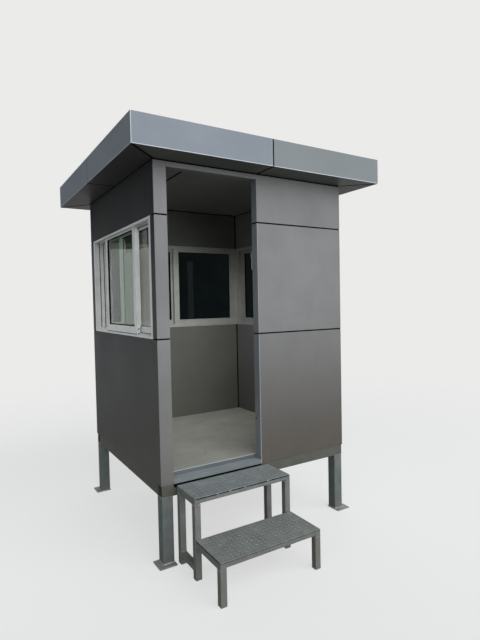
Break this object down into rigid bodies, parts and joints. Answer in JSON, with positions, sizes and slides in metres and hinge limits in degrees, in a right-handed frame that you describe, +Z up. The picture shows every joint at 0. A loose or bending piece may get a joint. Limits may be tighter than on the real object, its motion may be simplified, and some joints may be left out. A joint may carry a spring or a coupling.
{
  "type": "security guard booth",
  "caption": "Small clad guard booth on steel legs: open doorway, sliding windows on three sides, flat overhanging canopy roof and a separate two-step stair.",
  "frame": {"origin": "ground level at the middle of the rectangle that the canopy and the stair cover together", "axes": "+Z up, +X to the right along the doorway wall as seen from outside, +Y from the doorway to the back window"},
  "size_m": [1.949, 2.303, 2.71],
  "materials": {
    "cladding_silver": "silver-grey aluminium composite cladding with a fine brushed look, satin",
    "canopy_silver": "silver-grey aluminium composite fascia, satin",
    "inner_lining": "grey aluminium composite lining and soffit, satin",
    "window_white": "white powder-coated aluminium window section",
    "window_glass": "float glass, dark tinted at the back and right, clear at the left, a little dust",
    "gasket_rubber": "black rubber glazing gasket",
    "base_steel": "grey painted steel tube with weld marks and dirt",
    "stair_steel": "grey painted chequer plate and tube, worn on the edges",
    "floor_board": "bare grey fibre-cement board, dusty",
    "roof_steel": "ribbed coated steel roof sheet"
  },
  "bodies": {
    "root": {"back_wall_lower": "cladding_silver", "back_wall_upper": "cladding_silver", "beam_back": "base_steel", "beam_front": "base_steel", "beam_left": "base_steel", "beam_right": "base_steel", "ceiling": "inner_lining", "door_head": "cladding_silver", "door_sill": "cladding_silver", "fascia_back": "canopy_silver", "fascia_front": "canopy_silver", "fascia_left": "canopy_silver", "fascia_right": "canopy_silver", "floor_board": "floor_board", "floor_joists": "base_steel", "foot_plates": "base_steel", "front_wall_lower": "cladding_silver", "front_wall_middle": "cladding_silver", "front_wall_upper": "cladding_silver", "left_wall_lower": "cladding_silver", "left_wall_upper": "cladding_silver", "leg_back_left": "base_steel", "leg_back_right": "base_steel", "leg_front_left": "base_steel", "leg_front_right": "base_steel", "post_back_left": "cladding_silver", "post_back_right": "cladding_silver", "post_front_left": "cladding_silver", "right_wall_lower": "cladding_silver", "right_wall_upper": "cladding_silver", "roof_sheet": "roof_steel", "soffit_back": "inner_lining", "soffit_front": "inner_lining", "soffit_left": "inner_lining", "soffit_right": "inner_lining", "step_frame_lower": "stair_steel", "step_frame_upper": "stair_steel", "tread_lower": "stair_steel", "tread_upper": "stair_steel", "window_frame_back": "window_white", "window_frame_left": "window_white", "window_frame_right": "window_white", "window_gaskets": "gasket_rubber", "window_glass_back": "window_glass", "window_glass_left": "window_glass", "window_glass_right": "window_glass", "window_latches": "window_white", "window_sashes_back": "window_white", "window_sashes_left": "window_white", "window_sashes_right": "window_white"}
  },
  "joints": []
}
